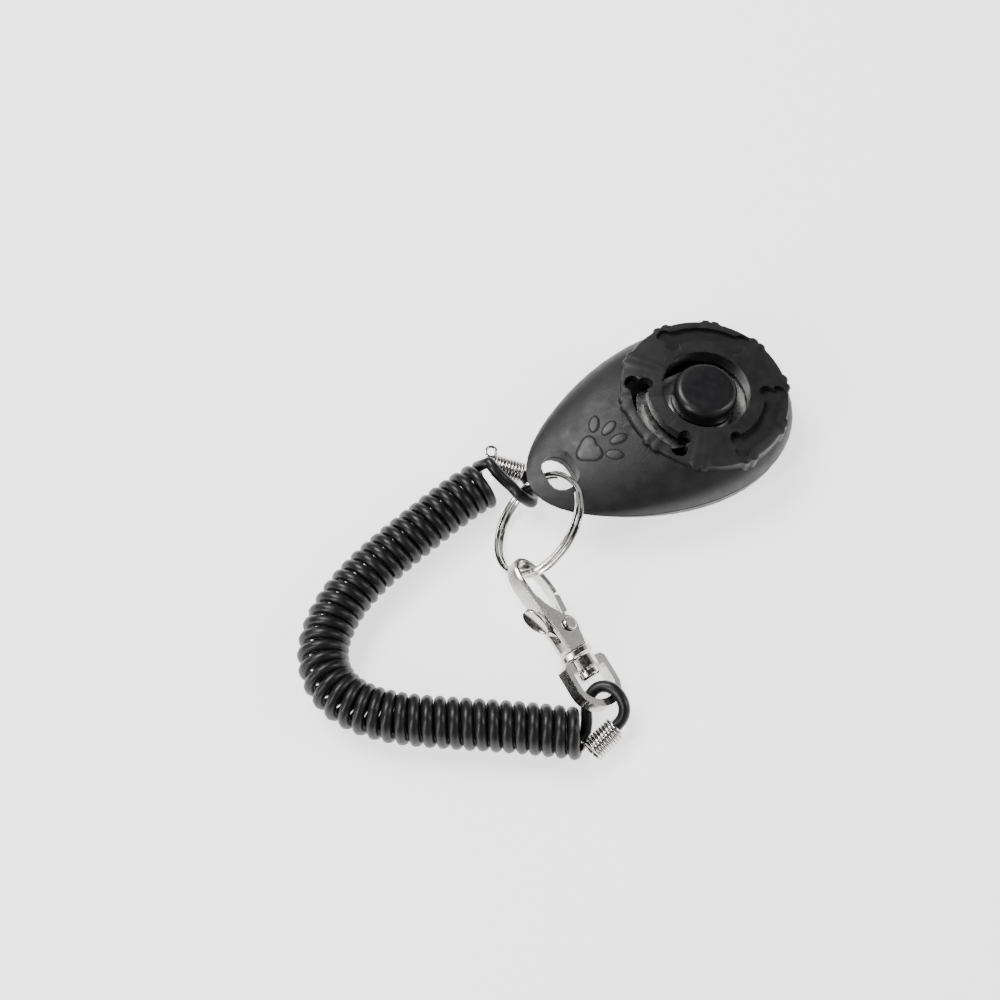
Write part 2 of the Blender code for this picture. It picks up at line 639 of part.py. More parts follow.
def thumb_tab(frame):
    """Oval thumb piece of the gate, dished on its outer face."""
    stations = ((-4.4, 1.0, 0.9), (-4.75, 1.8, 1.6), (-5.2, 3.0, 2.15), (-5.7, 4.4, 2.35), (-6.15, 5.7, 2.1),
                (-6.45, 6.6, 1.5), (-6.6, 7.1, 0.8))
    path = [Vector((*gate_point(dx, dy), 0.0)) for dx, dy, _ in stations]
    along = (path[-1] - path[0]).normalized()
    outward = Vector((-along.y, along.x, 0.0))
    up = Vector((0.0, 0.0, 1.0))
    half = 0.5 * MM

    def section(i):
        width = stations[i][2] * MM
        edge = 0.25 * MM
        hollow = 0.2 * width
        return [(half, -width + edge), (half - 0.8 * hollow, -0.5 * width), (half - hollow, 0.0),
                (half - 0.8 * hollow, 0.5 * width), (half, width - edge), (half - edge, width),
                (-half, width - edge), (-half - 0.4 * hollow, 0.0), (-half, -width + edge), (half - edge, -width)]

    return sweep("tab", path, [outward] * len(path), [up] * len(path), section, NICKEL, frame)


def hook_gate():
    """Sprung gate with its thumb tab, one lever that turns on the pin."""
    frame = hook_frame()
    tip_y = NOSE_END_Y - GAP
    arm = [(3.9 * MM, tip_y), (4.3 * MM, tip_y), (5.1 * MM, tip_y - TIP_SLANT), gate_point(2.35, 1.2)]
    for i in range(6):
        angle = math.radians(20.0 - 32.0 * i)
        arm.append(gate_point(2.0 * math.cos(angle), 2.0 * math.sin(angle)))
    arm += [gate_point(-3.0, -0.9), gate_point(-4.2, 0.9), gate_point(-3.6, 2.2), gate_point(-1.4, 1.9),
            gate_point(0.9, 2.6)]
    gate = prism("hook_gate", arm, -1.0 * MM, 0.2 * MM, NICKEL, frame)
    tip = [(3.8 * MM, tip_y), (4.3 * MM, tip_y), (5.15 * MM, tip_y - TIP_SLANT), gate_point(3.0, 3.2),
           gate_point(1.4, 3.0)]
    add(gate, prism("tip", tip, -1.0 * MM, 1.0 * MM, NICKEL, frame))
    add(gate, thumb_tab(frame))
    stem = [gate_point(-2.6, 0.2), gate_point(-4.4, 0.8), gate_point(-4.6, 2.2), gate_point(-2.6, 1.8)]
    add(gate, prism("stem", stem, -0.85 * MM, 0.85 * MM, NICKEL, frame))
    cut(gate, cylinder("pin_bore", 0.95 * MM, -4.0 * MM, 4.0 * MM, NICKEL, frame, GATE_PIVOT, 20))
    return set_origin(smooth(gate), frame @ Vector((*GATE_PIVOT, 0.0)))


def gate_pin():
    """Riveted pin with a flat head on each cheek."""
    profile = ((1.3 * MM, -3.0 * MM), (1.6 * MM, -2.75 * MM), (1.6 * MM, -2.5 * MM), (0.7 * MM, -2.5 * MM),
               (0.7 * MM, 2.5 * MM), (1.6 * MM, 2.5 * MM), (1.6 * MM, 2.75 * MM), (1.3 * MM, 3.0 * MM))
    return smooth(lathe("gate_pin", profile, NICKEL, hook_frame(), 24, GATE_PIVOT))


def gate_spring():
    """Torsion spring on the pin, beside the gate."""
    px, py = GATE_PIVOT
    frame = hook_frame()
    path = []
    turns, per_turn = 1.75, 14
    for i in range(int(turns * per_turn) + 1):
        angle = 2.0 * math.pi * i / per_turn
        rise = 0.5 * MM + 0.45 * MM * i / (turns * per_turn)
        path.append(frame @ Vector((px + 1.25 * MM * math.cos(angle), py + 1.25 * MM * math.sin(angle), rise)))
    return tube("gate_spring", path, 0.13 * MM, SPRING_STEEL, 1)


def swivel_post():
    """Rivet that joins the swivel loop to the hook and lets it spin."""
    along = Matrix.Rotation(math.radians(-90.0), 4, "X")
    profile = ((1.9 * MM, POST_HEAD_Y - 1.6 * MM), (2.5 * MM, POST_HEAD_Y - 1.2 * MM), (2.5 * MM, POST_HEAD_Y),
               (1.15 * MM, POST_HEAD_Y), (1.15 * MM, COLLAR_TOP_Y - 0.8 * MM))
    return smooth(lathe("swivel_post", profile, NICKEL, hook_frame() @ along, 28))


def loop_outline(half_width, top, bottom, corner, drop, steps=8):
    """A U shape: square shoulders and a round foot."""
    outline = [(half_width, top), (-half_width, top)]
    for i in range(steps * 2 + 1):
        angle = math.pi + math.pi * i / (steps * 2)
        outline.append((half_width * math.cos(angle), bottom + drop + drop * math.sin(angle)))
    outline[0] = (half_width - corner, top)
    outline[1] = (-half_width + corner, top)
    outline.insert(2, (-half_width, top - corner))
    outline.append((half_width, top - corner))
    return outline


def loop_frame():
    """Frame of the swivel loop, which leans a little on its loose post."""
    pivot = Vector((0.0, LOOP_BASE_TOP_Y, 0.0))
    lean = Matrix.Translation(pivot) @ Matrix.Rotation(LOOP_LEAN, 4, "Z") @ Matrix.Translation(-pivot)
    return hook_frame(LOOP_ROLL) @ lean


def swivel_loop():
    """Stirrup that the strap hangs on, with a boss that turns on the post."""
    frame = loop_frame()
    along = frame @ Matrix.Rotation(math.radians(-90.0), 4, "X")
    half = LOOP_DEPTH / 2.0
    low = LOOP_BASE_TOP_Y - LOOP_BASE_DEPTH
    outer = loop_outline(LOOP_HALF_WIDTH, LOOP_BASE_TOP_Y - 0.4 * MM, LOOP_END_Y, 0.8 * MM, 5.2 * MM)
    inner = loop_outline(LOOP_HALF_WIDTH - 1.4 * MM, low, LOOP_END_Y + 1.7 * MM, 0.4 * MM, 3.8 * MM)
    loop = prism("swivel_loop", outer, -half, half, NICKEL, frame)
    add(loop, lathe("boss", ((3.4 * MM, low), (3.4 * MM, LOOP_BASE_TOP_Y - 0.3 * MM), (3.0 * MM, LOOP_BASE_TOP_Y)),
                    NICKEL, along, 28))
    cut(loop, prism("window", inner, -5.0 * MM, 5.0 * MM, NICKEL, frame))
    cut(loop, cylinder("post_bore", 1.45 * MM, low - MM, LOOP_BASE_TOP_Y + MM, NICKEL, along, steps=20))
    return set_origin(smooth(loop), frame @ Vector((0.0, LOOP_BASE_TOP_Y, 0.0)))


def strap_coil():
    """Outer form of the coiled strap as it lies: one tube of the coil's outer diameter."""
    points = [Vector((x * MM, y * MM, COIL_RADIUS + 0.05 * MM)) for x, y in COIL_ROUTE]
    return tube("strap_coil", smooth_path(points, 2), COIL_RADIUS, CORD_PLASTIC, 4)


def strap_loop(name, route):
    """The cord's end, looped through the metal and brought back to its crimp."""
    points = [Vector(point) * MM for point in route]
    return tube(name, smooth_path(points, 3), CORD_RADIUS, CORD_PLASTIC, 2)


def crimp_spring(name, ends):
    """Close-wound wire sleeve that grips the cord's end."""
    start, stop = ends
    axis = (stop - start).normalized()
    side = axis.cross(Vector((0.0, 0.0, 1.0))).normalized()
    up = side.cross(axis)
    per_turn = 10
    total = CRIMP_TURNS * per_turn
    path = []
    for i in range(total + 1):
        angle = 2.0 * math.pi * i / per_turn
        middle = start + (stop - start) * (i / total)
        path.append(middle + side * (CRIMP_RADIUS * math.cos(angle)) + up * (CRIMP_RADIUS * math.sin(angle)))
    return tube(name, path, CRIMP_WIRE_RADIUS, NICKEL, 1)


def build():
    clear_scene()
    top_cover()
    bottom_cover()
    for index, centre in enumerate(CASE_SCREWS, start=1):
        case_screw(index, centre)
    button()
    click_strip()
    strip_screw()
    split_ring()
    hook_body()
    hook_gate()
    gate_pin()
    gate_spring()
    swivel_post()
    swivel_loop()
    strap_coil()
    strap_loop("strap_loop_ring", LOOP_A_ROUTE)
    crimp_spring("crimp_spring_ring", CRIMP_A)
    strap_loop("strap_loop_hook", LOOP_B_ROUTE)
    crimp_spring("crimp_spring_hook", CRIMP_B)


build()
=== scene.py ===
import json
import math

import bmesh
import bpy
from mathutils import Matrix, Vector
from mathutils.bvhtree import BVHTree


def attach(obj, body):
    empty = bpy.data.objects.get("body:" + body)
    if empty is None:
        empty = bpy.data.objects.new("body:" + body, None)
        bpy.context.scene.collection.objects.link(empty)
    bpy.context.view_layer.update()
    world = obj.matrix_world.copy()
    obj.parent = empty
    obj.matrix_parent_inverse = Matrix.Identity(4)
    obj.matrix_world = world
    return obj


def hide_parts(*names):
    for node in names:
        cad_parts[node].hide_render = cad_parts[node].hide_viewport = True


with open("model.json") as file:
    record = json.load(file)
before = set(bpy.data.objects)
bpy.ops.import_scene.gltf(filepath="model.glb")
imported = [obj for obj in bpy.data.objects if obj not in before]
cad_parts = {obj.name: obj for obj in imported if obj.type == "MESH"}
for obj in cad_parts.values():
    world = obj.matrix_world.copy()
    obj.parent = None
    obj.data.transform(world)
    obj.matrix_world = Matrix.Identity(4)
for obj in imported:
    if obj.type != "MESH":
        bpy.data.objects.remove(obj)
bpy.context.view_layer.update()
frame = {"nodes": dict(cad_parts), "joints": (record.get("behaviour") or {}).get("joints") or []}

MM = 0.001
NODES = frame["nodes"]
JOINTS = {joint["name"]: joint for joint in frame["joints"]}

# The strap's cord, one length from crimp to crimp; routes are those of the CAD solids.
CORD_RADIUS = 1.3 * MM
COIL_RADIUS = 5.65 * MM
COIL_PITCH = 2.8 * MM
STEPS_PER_TURN = 18
COIL_ROUTE = (
    (-51.2, 8.3), (-55.8, 8.1), (-62.0, 7.1), (-68.1, 5.8), (-74.3, 4.4), (-80.3, 2.9),
    (-86.1, 1.1), (-91.8, -1.4), (-97.0, -4.8), (-101.3, -9.4), (-103.4, -15.0), (-102.8, -20.8),
    (-99.9, -25.9), (-95.8, -30.1), (-91.2, -33.6), (-86.4, -36.8), (-81.6, -39.9),
    (-76.8, -43.0), (-72.0, -46.2), (-67.6, -49.3), (-62.6, -52.9),
)
LOOP_A_ROUTE = (
    (-49.5, 11.3, 9.5), (-49.3, 9.5, 9.6), (-48.9, 7.6, 9.0), (-48.2, 5.8, 8.1), (-47.4, 3.9, 7.4),
    (-46.9, 1.7, 7.0), (-45.9, 0.4, 5.9), (-44.7, -0.1, 4.2), (-43.6, 1.3, 2.5), (-42.7, 3.5, 1.6),
    (-42.2, 5.6, 1.9), (-42.6, 7.4, 2.6), (-43.8, 9.0, 3.1), (-45.1, 10.1, 3.4),
)
LOOP_B_ROUTE = (
    (-60.6, -56.3, 3.1), (-57.4, -55.4, 3.6), (-54.9, -54.6, 4.2), (-53.0, -53.9, 5.0),
    (-51.7, -52.4, 5.8), (-51.3, -50.1, 6.4), (-51.8, -47.8, 6.5), (-53.1, -46.2, 6.1),
    (-54.9, -45.7, 5.5), (-56.9, -46.5, 4.7), (-58.5, -48.3, 3.9), (-59.5, -50.2, 3.1), (-60.9, -52.2, 2.0),
)
CRIMP_A = (Vector((-42.6, 7.9, 2.8)) * MM, Vector((-47.6, 12.4, 3.9)) * MM)
CRIMP_B = (Vector((-55.3, -54.8, 3.9)) * MM, Vector((-62.0, -56.7, 2.9)) * MM)
CRIMP_RADIUS = 2.3 * MM
CRIMP_WIRE = 0.37 * MM
CRIMP_TURNS = 9
CRIMP_STEPS_PER_TURN = 20
CRIMP_EYE_RADIUS = 1.3 * MM
CRIMP_EYE_STEPS = 18
COIL_START = math.radians(51.7)
COIL_END = math.radians(-112.6)
COIL_GAP = 0.05 * MM
COIL_SAMPLE = 0.1 * MM
CURVE_STEPS = 6

# The view of the photograph.
LENS_MM = 63.36
SENSOR_MM = 36.0
EYE = Vector((-134.6, -147.8, 359.5)) * MM
LOOK_AT = Vector((-49.6, 5.6, 0.0)) * MM

# The paw, in the clicker's own frame: each toe is x, y and its turn in degrees.
PAD_CENTRE = (-29.5 * MM, 0.4 * MM)
PAD_RADIUS = 2.7 * MM
TOES = ((-25.7, 5.1, 55.0), (-23.6, 2.5, 20.0), (-23.1, -0.9, -8.0), (-25.6, -3.5, -40.0))
TOE_LENGTH = 1.95 * MM
TOE_WIDTH = 1.05 * MM
# Each ring of a pad's relief: share of the outline's radius, offset outwards and height, in mm.
RELIEF = (
    (1.0, 0.22, 0.02), (1.0, 0.1, 0.035), (1.0, 0.0, 0.03), (1.0, -0.08, 0.09),
    (0.88, -0.08, 0.12), (0.6, 0.0, 0.14), (0.3, 0.0, 0.15), (0.06, 0.0, 0.15),
)
RELIEF_STEPS = 48
ABOVE_CASE = 10.0 * MM
# The outer rings of each pad's relief, drawn in the darker groove material as painted shade.
GROOVE_RINGS = 3

# Edge roundings.
COVER_EDGES = (0.12 * MM, 0.18 * MM)
BUTTON_EDGE = 0.08 * MM
STRIP_EDGE = 0.06 * MM
RING_EDGE = 0.1 * MM
CAST_EDGE = 0.14 * MM
GATE_EDGE = 0.2 * MM
PIN_EDGE = 0.08 * MM
LOOP_EDGE = 0.35 * MM
ROUND_ABOVE = math.radians(32.0)

# The studio.
FLOOR_HALF = 2.0
FLOOR_GLOW = 1.6
LIT_POINT = (-0.05, -0.01, 0.01)
SKY_SCALE = 1.7
SKY_STRENGTH = 0.7


def camera():
    data = bpy.data.cameras.new("camera")
    data.lens = LENS_MM
    data.sensor_width = SENSOR_MM
    data.clip_start = 0.01
    eye = bpy.data.objects.new("camera", data)
    bpy.context.scene.collection.objects.link(eye)
    eye.location = EYE
    eye.rotation_euler = (LOOK_AT - EYE).to_track_quat("-Z", "Y").to_euler()
    bpy.context.scene.camera = eye


# ---- materials ----

class Shader:
    """A small helper to wire one Principled material."""

    def __init__(self, name, colour, roughness, metallic=0.0):
        self.material = bpy.data.materials.new(name)
        self.material.use_nodes = True
        self.tree = self.material.node_tree
        self.bsdf = self.tree.nodes["Principled BSDF"]
        self.bsdf.inputs["Base Color"].default_value = (*colour, 1.0)
        self.bsdf.inputs["Roughness"].default_value = roughness
        self.bsdf.inputs["Metallic"].default_value = metallic
        self.coords = self.tree.nodes.new("ShaderNodeTexCoord").outputs["Object"]

    def link(self, source, target):
        self.tree.links.new(source, target)

    def noise(self, per_metre, detail=3.0, stretch=(1.0, 1.0, 1.0)):
        mapping = self.tree.nodes.new("ShaderNodeMapping")
        mapping.inputs["Scale"].default_value = stretch
        self.link(self.coords, mapping.inputs["Vector"])
        node = self.tree.nodes.new("ShaderNodeTexNoise")
        node.inputs["Scale"].default_value = per_metre
        node.inputs["Detail"].default_value = detail
        self.link(mapping.outputs["Vector"], node.inputs["Vector"])
        return node.outputs["Fac"]

    def spread(self, source, low, high, start=0.3, stop=0.7):
        node = self.tree.nodes.new("ShaderNodeMapRange")
        node.inputs["From Min"].default_value = start
        node.inputs["From Max"].default_value = stop
        node.inputs["To Min"].default_value = low
        node.inputs["To Max"].default_value = high
        self.link(source, node.inputs["Value"])
        return node.outputs["Result"]

    def tint(self, source, dark, light):
        node = self.tree.nodes.new("ShaderNodeMix")
        node.data_type = "RGBA"
        node.inputs["A"].default_value = (*dark, 1.0)
        node.inputs["B"].default_value = (*light, 1.0)
        self.link(source, node.inputs["Factor"])
        self.link(node.outputs["Result"], self.bsdf.inputs["Base Color"])

    def bump(self, source, height, strength=1.0, after=None):
        node = self.tree.nodes.new("ShaderNodeBump")
        node.inputs["Strength"].default_value = strength
        node.inputs["Distance"].default_value = height
        self.link(source, node.inputs["Height"])
        if after is not None:
            self.link(after, node.inputs["Normal"])
        self.link(node.outputs["Normal"], self.bsdf.inputs["Normal"])
        return node.outputs["Normal"]


def moulded_plastic():
    """Satin black casing: a fine spark-eroded grain and slightly uneven gloss."""
    look = Shader("moulded_black", (0.011, 0.011, 0.012), 0.5)
    look.bsdf.inputs["Specular IOR Level"].default_value = 0.32
    look.tint(look.spread(look.noise(260.0), 0.0, 1.0), (0.008, 0.008, 0.009), (0.014, 0.014, 0.015))
    look.link(look.spread(look.noise(420.0, 4.0), 0.38, 0.52), look.bsdf.inputs["Roughness"])
    soft = look.bump(look.noise(190.0, 2.0), 0.05 * MM, 0.25)
    look.bump(look.noise(2600.0, 2.0), 0.05 * MM, 0.6, soft)
    return look.material


def button_plastic():
    look = Shader("button_black", (0.009, 0.009, 0.010), 0.36)
    look.bsdf.inputs["Specular IOR Level"].default_value = 0.35
    look.tint(look.spread(look.noise(300.0), 0.0, 1.0), (0.007, 0.007, 0.008), (0.012, 0.012, 0.013))
    look.link(look.spread(look.noise(700.0, 5.0), 0.27, 0.39), look.bsdf.inputs["Roughness"])
    look.bump(look.noise(3800.0, 2.0), 0.012 * MM, 0.4)
    return look.material


def smooth_inlay():
    look = Shader("paw_black", (0.014, 0.014, 0.015), 0.42)
    look.bsdf.inputs["Specular IOR Level"].default_value = 0.32
    look.link(look.spread(look.noise(900.0, 3.0), 0.32, 0.42), look.bsdf.inputs["Roughness"])
    look.bump(look.noise(4200.0, 2.0), 0.01 * MM, 0.3)
    return look.material


# Darker, rougher black for the paw's groove rings: painted shade in the groove, on the same plastic as the
# pads.
def groove_painted_shade():
    look = Shader("groove_painted_shade", (0.003, 0.003, 0.003), 0.8)
    look.link(look.spread(look.noise(3000.0, 2.0), 0.7, 0.9), look.bsdf.inputs["Roughness"])
    return look.material


def cord_plastic():
    """Glossy soft cord with faint drawing lines and handling marks."""
    look = Shader("cord_black", (0.006, 0.006, 0.007), 0.34)
    look.bsdf.inputs["Specular IOR Level"].default_value = 0.3
    look.tint(look.spread(look.noise(500.0), 0.0, 1.0), (0.004, 0.004, 0.005), (0.009, 0.009, 0.010))
    look.link(look.spread(look.noise(800.0, 4.0), 0.3, 0.44), look.bsdf.inputs["Roughness"])
    soft = look.bump(look.noise(900.0, 2.0), 0.04 * MM, 0.3)
    look.bump(look.noise(5000.0, 2.0), 0.01 * MM, 0.35, soft)
    look.bsdf.inputs["Coat Weight"].default_value = 0.08
    look.bsdf.inputs["Coat Roughness"].default_value = 0.2
    return look.material


def nickel(name="nickel", waviness=0.03, roughness=(0.12, 0.24)):
    """Bright nickel plate over a casting: small waves, soft polishing marks."""
    look = Shader(name, (0.74, 0.72, 0.69), 0.16, 1.0)
    look.tint(look.spread(look.noise(350.0, 3.0), 0.0, 1.0), (0.56, 0.545, 0.52), (0.68, 0.665, 0.64))
    look.link(look.spread(look.noise(1500.0, 5.0), *roughness), look.bsdf.inputs["Roughness"])
    soft = look.bump(look.noise(240.0, 1.0), waviness * MM, 0.5)
    look.bump(look.noise(4000.0, 3.0), 0.006 * MM, 0.25, soft)
    return look.material


def strip_steel():
    """Rolled spring steel with fine lengthwise lines."""
    look = Shader("rolled_steel", (0.62, 0.62, 0.60), 0.26, 1.0)
    lines = look.noise(900.0, 2.0, (0.15, 1.0, 0.15))
    look.tint(look.spread(lines, 0.0, 1.0), (0.4, 0.4, 0.39), (0.5, 0.5, 0.49))
    look.link(look.spread(look.noise(600.0, 4.0), 0.22, 0.34), look.bsdf.inputs["Roughness"])
    look.bump(lines, 0.002 * MM, 0.15)
    return look.material


def screw_steel():
    look = Shader("screw_steel", (0.42, 0.42, 0.41), 0.34, 1.0)
    look.tint(look.spread(look.noise(1200.0), 0.0, 1.0), (0.34, 0.34, 0.33), (0.5, 0.5, 0.49))
    look.link(look.spread(look.noise(2600.0, 4.0), 0.28, 0.42), look.bsdf.inputs["Roughness"])
    look.bump(look.noise(3000.0, 3.0), 0.008 * MM, 0.4)
    return look.material


# ---- mesh helpers ----

def place(piece, body, slot_name, *replaced):
    if piece.name not in bpy.context.scene.collection.objects:
        bpy.context.scene.collection.objects.link(piece)
    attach(piece, body)
    if replaced:
        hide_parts(*replaced)
    return piece


def smooth_path(points, steps):
    """Points along a Catmull-Rom curve through the given points."""
    knots = [2.0 * points[0] - points[1], *points, 2.0 * points[-1] - points[-2]]
    path = []
    for i in range(1, len(knots) - 2):
        before, here, there, after = knots[i - 1:i + 3]
        for s in range(steps):
            t = s / steps
            path.append(0.5 * (2.0 * here + (there - before) * t
                               + (2.0 * before - 5.0 * here + 4.0 * there - after) * t * t
                               + (3.0 * here - before - 3.0 * there + after) * t ** 3))
    path.append(points[-1].copy())
    return path


def wire(name, path, radius, look, resolution=4):
    data = bpy.data.curves.new(name, "CURVE")
    data.dimensions = "3D"
    data.bevel_depth = radius
    data.bevel_resolution = resolution
    data.use_fill_caps = True
    spline = data.splines.new("POLY")
    spline.points.add(len(path) - 1)
    for point, place_at in zip(spline.points, path):
        point.co = (*place_at, 1.0)
    spline.use_smooth = True
    data.materials.append(look)
    return bpy.data.objects.new(name, data)


def even(path, spacing):
    """The same line with points at even distances."""
    out = [path[0].copy()]
    left = spacing
    for a, b in zip(path, path[1:]):
        run = (b - a).length
        done = 0.0
        while run - done >= left:
            done += left
            out.append(a.lerp(b, done / run))
            left = spacing
        left -= run - done
    return out


def refined(node, look, bevel, flatten=True):
    """A finer copy of a CAD node: its flat facets joined if asked, and its edges rounded."""
    mesh = NODES[node].data.copy()
    work = bmesh.new()
    work.from_mesh(mesh)
    bmesh.ops.remove_doubles(work, verts=work.verts, dist=1e-6)
    if flatten:
        bmesh.ops.dissolve_limit(work, angle_limit=math.radians(0.6), verts=work.verts, edges=work.edges)
    for face in work.faces:
        face.smooth = True
    work.to_mesh(mesh)
    work.free()
    mesh.materials.clear()
    mesh.materials.append(look)
    piece = bpy.data.objects.new(node + "_fine", mesh)
    bpy.context.scene.collection.objects.link(piece)
    rounding = piece.modifiers.new("round", "BEVEL")
    rounding.width = bevel
    rounding.segments = 3
    rounding.limit_method = "ANGLE"
    rounding.angle_limit = ROUND_ABOVE
    piece.modifiers.new("normals", "WEIGHTED_NORMAL")
    return piece


# ---- the strap ----

def coil_line(start_angle, end_angle):
    """The helix along the coil's route, from one end's angle to the other's, a diameter or more apart."""
    lift = COIL_RADIUS + COIL_GAP
    route = [Vector((x * MM, y * MM, lift)) for x, y in COIL_ROUTE]
    middle = even(smooth_path(route, 2 * CURVE_STEPS), COIL_SAMPLE)
    length = COIL_SAMPLE * (len(middle) - 1)
    turns = round(length / COIL_PITCH)
    total = (start_angle - end_angle) % (2.0 * math.pi) + 2.0 * math.pi * turns
    steps = int(STEPS_PER_TURN * total / (2.0 * math.pi))
    radius = COIL_RADIUS - CORD_RADIUS
    line = []
    for i in range(steps + 1):
        share = i / steps
        at = share * (len(middle) - 1)
        low = min(int(at), len(middle) - 2)
        centre = middle[low].lerp(middle[low + 1], at - low)
        ahead = middle[min(low + 20, len(middle) - 1)] - middle[max(low - 20, 0)]
        side = ahead.cross(Vector((0.0, 0.0, 1.0))).normalized()
        angle = start_angle - total * share
        rise = Vector((0.0, 0.0, radius * math.sin(angle)))
        line.append(centre + side * (radius * math.cos(angle)) + rise)
    return line


def strap():
    """Loop through the ring, coil, loop through the swivel, as one cord."""
    first = smooth_path([Vector(p) * MM for p in LOOP_A_ROUTE[::-1]], CURVE_STEPS)
    last = smooth_path([Vector(p) * MM for p in LOOP_B_ROUTE[::-1]], CURVE_STEPS)
    path = first[:-1] + coil_line(COIL_START, COIL_END)[2:-2] + last[1:]
    cord = wire("strap_cord", path, CORD_RADIUS, cord_plastic())
    place(cord, "clicker", "cord_plastic", "strap_coil", "strap_loop_ring", "strap_loop_hook")
    crimps = [crimp("crimp_ring", CRIMP_A, "crimp_spring_ring"),
              crimp("crimp_hook", CRIMP_B, "crimp_spring_hook")]


def crimp(name, ends, node):
    """Close-wound wire sleeve whose last turn ends in a small round eye."""
    start, stop = ends
    axis = (stop - start).normalized()
    side = axis.cross(Vector((0.0, 0.0, 1.0))).normalized()
    up = side.cross(axis)
    total = CRIMP_TURNS * CRIMP_STEPS_PER_TURN
    path = []
    for i in range(total + 1):
        angle = 2.0 * math.pi * i / CRIMP_STEPS_PER_TURN
        middle = start + (stop - start) * (i / total)
        path.append(middle + (side * math.cos(angle) + up * math.sin(angle)) * CRIMP_RADIUS)
    centre = path[-1] + (axis * 0.9 + side * 0.6) * CRIMP_EYE_RADIUS
    for i in range(1, CRIMP_EYE_STEPS + 1):
        angle = math.radians(-150.0 + 300.0 * i / CRIMP_EYE_STEPS)
        path.append(centre + (axis * math.cos(angle) - side * math.sin(angle)) * CRIMP_EYE_RADIUS)
    piece = wire(name, path, CRIMP_WIRE, LOOKS["wire"], 3)
    return place(piece, "clicker", "nickel_plate", node)


# ---- the clicker ----

def clicker_matrix():
    """The clicker's own frame, from the button's joint: its XY plane is the disc's top."""
    joint = JOINTS["button_press"]
    up = Vector(joint["axis"]).normalized()
    across = Vector((0.0, 1.0, 0.0))
    along = across.cross(up).normalized()
    turn = Matrix((along, across, up)).transposed().to_4x4()
    return Matrix.Translation(Vector(joint["pos_m"])) @ turn


def surface(node):
    mesh = NODES[node].data
    return BVHTree.FromPolygons([v.co for v in mesh.vertices], [p.vertices for p in mesh.polygons])


def toe_outline(length, width):
    def radius(angle):
        c, s = math.cos(angle), math.sin(angle)
        return length * width / math.hypot(width * c, length * s) * (1.0 + 0.06 * c)
    return radius


def pad_outline(angle):
    """A broad pad towards the toes that narrows to a blunt stem, with a soft waist on each side."""
    c = math.cos(angle)
    return PAD_RADIUS * (1.0 + 0.17 * math.cos(3.0 * angle) - 0.1 * math.cos(2.0 * angle) + 0.04 * c)


def relief(name, centre, turn, radius, ground, frame_at):
    """One pad of the paw: a shallow groove round a low, smooth, slightly crowned field; the groove rings
    are coloured darker, as painted shade in the groove.
    """
    steps = RELIEF_STEPS
    mesh = bpy.data.meshes.new(name)
    verts, faces = [], []
    down = frame_at.to_3x3() @ Vector((0.0, 0.0, -1.0))
    for share, out, height in RELIEF:
        for i in range(steps):
            angle = 2.0 * math.pi * i / steps
            reach = radius(angle) * share + out * MM
            x = centre[0] + reach * math.cos(angle + turn)
            y = centre[1] + reach * math.sin(angle + turn)
            start = frame_at @ Vector((x, y, ABOVE_CASE))
            hit, normal, _, _ = ground.ray_cast(start, down)
            verts.append(hit + normal * (height * MM))
    for ring in range(len(RELIEF) - 1):
        for i in range(steps):
            k = (i + 1) % steps
            low, high = ring * steps, (ring + 1) * steps
            faces.append((low + i, low + k, high + k, high + i))
    faces.append(tuple((len(RELIEF) - 1) * steps + i for i in range(steps)))
    mesh.from_pydata([tuple(v) for v in verts], [], faces)
    mesh.materials.append(LOOKS["inlay"])
    mesh.materials.append(LOOKS["groove"])
    for index, face in enumerate(mesh.polygons):
        face.use_smooth = True
        # The groove rings take the darker material, as painted shade in the groove.
        face.material_index = 1 if index < GROOVE_RINGS * steps else 0
    return place(bpy.data.objects.new(name, mesh), "clicker", "black_plastic")


def paw():
    frame_at = clicker_matrix()
    ground = surface("top_cover")
    relief("paw_pad", PAD_CENTRE, math.pi, pad_outline, ground, frame_at)
    outline = toe_outline(TOE_LENGTH, TOE_WIDTH)
    for index, (x, y, degrees) in enumerate(TOES, start=1):
        relief(f"paw_toe_{index}", (x * MM, y * MM), math.radians(degrees), outline, ground, frame_at)


def casing():
    for node, bevel in zip(("top_cover", "bottom_cover"), COVER_EDGES):
        place(refined(node, LOOKS["plastic"], bevel, flatten=False), "clicker", "black_plastic", node)
    place(refined("button", LOOKS["button"], BUTTON_EDGE), "button", "button_plastic", "button")
    place(refined("click_strip", LOOKS["strip"], STRIP_EDGE), "strip", "spring_steel", "click_strip")
    for node in ("case_screw_1", "case_screw_2", "case_screw_3", "strip_screw"):
        recolour(node, "screw")


def recolour(node, look):
    """A CAD node that is shown as it is, with a finer material."""
    NODES[node].data.materials.clear()
    NODES[node].data.materials.append(LOOKS[look])


def metalwork():
    ring = refined("split_ring", LOOKS["wire"], RING_EDGE, flatten=False)
    place(ring, "ring", "nickel_plate", "split_ring")
    body = refined("hook_body", LOOKS["nickel"], CAST_EDGE, flatten=False)
    place(body, "hook", "nickel_plate", "hook_body")
    for node, owner, bevel in (("hook_gate", "gate", GATE_EDGE), ("gate_pin", "hook", PIN_EDGE),
                               ("swivel_post", "hook", CAST_EDGE), ("swivel_loop", "loop", LOOP_EDGE)):
        place(refined(node, LOOKS["nickel"], bevel), owner, "nickel_plate", node)
    recolour("gate_spring", "strip")


# ---- the room ----

def area_light(name, place_at, size, power):
    """A soft box of a size in metres and a power in watts, turned to the object."""
    data = bpy.data.lights.new(name, "AREA")
    data.shape = "RECTANGLE"
    data.size, data.size_y = size
    data.energy = power
    light = bpy.data.objects.new(name, data)
    bpy.context.scene.collection.objects.link(light)
    light.location = place_at
    light.rotation_euler = (Vector(LIT_POINT) - Vector(place_at)).to_track_quat("-Z", "Y").to_euler()


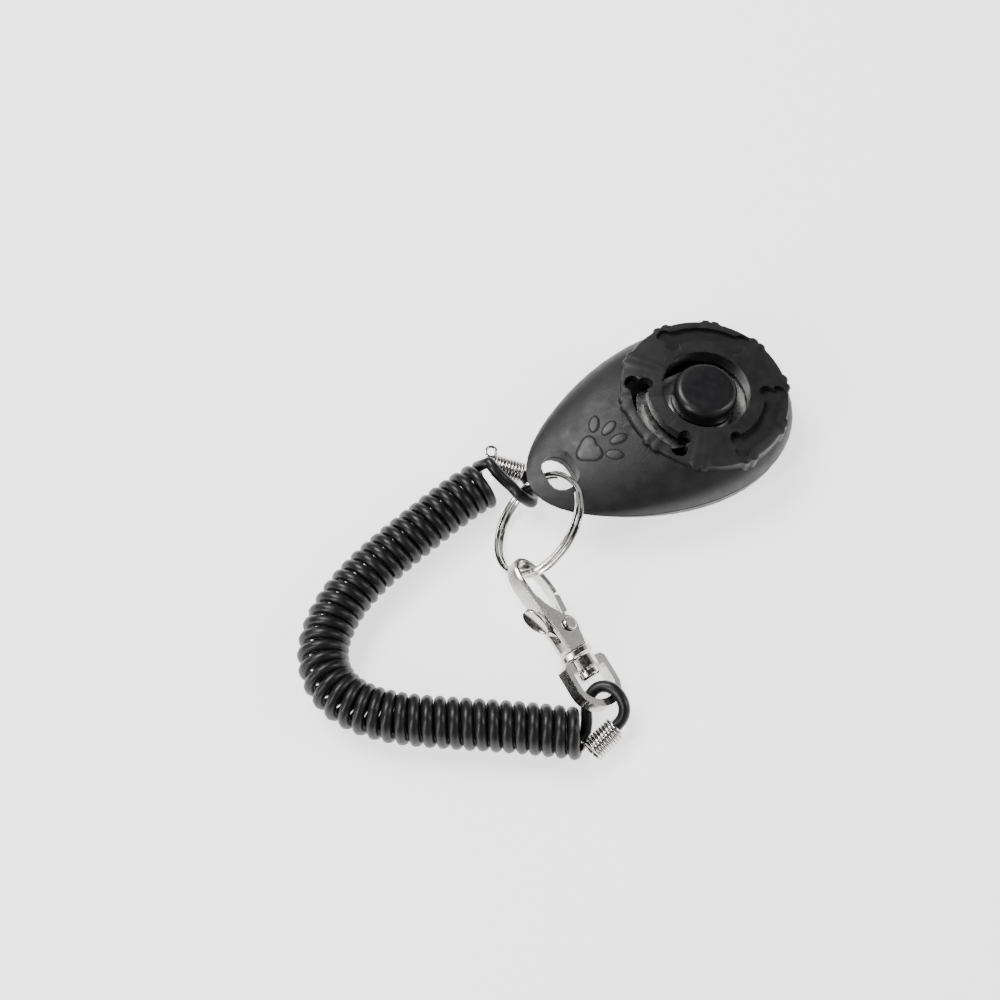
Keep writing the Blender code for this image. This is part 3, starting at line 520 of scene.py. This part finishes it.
def room():
    mesh = bpy.data.meshes.new("floor")
    corners = [(x * FLOOR_HALF, y * FLOOR_HALF, 0.0) for x, y in ((-1, -1), (1, -1), (1, 1), (-1, 1))]
    mesh.from_pydata(corners, [], [(0, 1, 2, 3)])
    floor = bpy.data.objects.new("floor", mesh)
    bpy.context.scene.collection.objects.link(floor)
    white = Shader("floor_white", (0.9, 0.9, 0.9), 0.8)
    white.bsdf.inputs["Specular IOR Level"].default_value = 0.05
    white.bsdf.inputs["Emission Color"].default_value = (1.0, 1.0, 1.0, 1.0)
    white.bsdf.inputs["Emission Strength"].default_value = FLOOR_GLOW
    mesh.materials.append(white.material)
    studio_sky()
    area_light("top_softbox", (-0.2, 0.45, 0.75), (0.5, 0.35), 9.0)
    area_light("left_strip", (-0.65, -0.1, 0.4), (0.12, 0.7), 3.5)
    area_light("right_fill", (0.55, -0.3, 0.5), (0.2, 0.5), 2.5)


def studio_sky():
    """A dim room with soft light and dark fields, so that bright metal has something to mirror."""
    world = bpy.data.worlds.new("studio")
    bpy.context.scene.world = world
    world.use_nodes = True
    tree = world.node_tree
    coords = tree.nodes.new("ShaderNodeTexCoord")
    fields = tree.nodes.new("ShaderNodeTexNoise")
    fields.inputs["Scale"].default_value = SKY_SCALE
    fields.inputs["Detail"].default_value = 0.5
    ramp = tree.nodes.new("ShaderNodeValToRGB")
    ramp.color_ramp.elements[0].position = 0.44
    ramp.color_ramp.elements[0].color = (0.015, 0.015, 0.015, 1.0)
    ramp.color_ramp.elements[1].position = 0.56
    ramp.color_ramp.elements[1].color = (0.95, 0.95, 0.95, 1.0)
    tree.links.new(coords.outputs["Generated"], fields.inputs["Vector"])
    tree.links.new(fields.outputs["Fac"], ramp.inputs["Fac"])
    tree.links.new(ramp.outputs["Color"], tree.nodes["Background"].inputs["Color"])
    tree.nodes["Background"].inputs["Strength"].default_value = SKY_STRENGTH


camera()
LOOKS = {
    "plastic": moulded_plastic(),
    "button": button_plastic(),
    "inlay": smooth_inlay(),
    # The groove entry is painted shade for the paw's grooves.
    "groove": groove_painted_shade(),
    "nickel": nickel(),
    "wire": nickel("wire_nickel", 0.02, (0.08, 0.18)),
    "strip": strip_steel(),
    "screw": screw_steel(),
}
strap()
casing()
paw()
metalwork()
room()
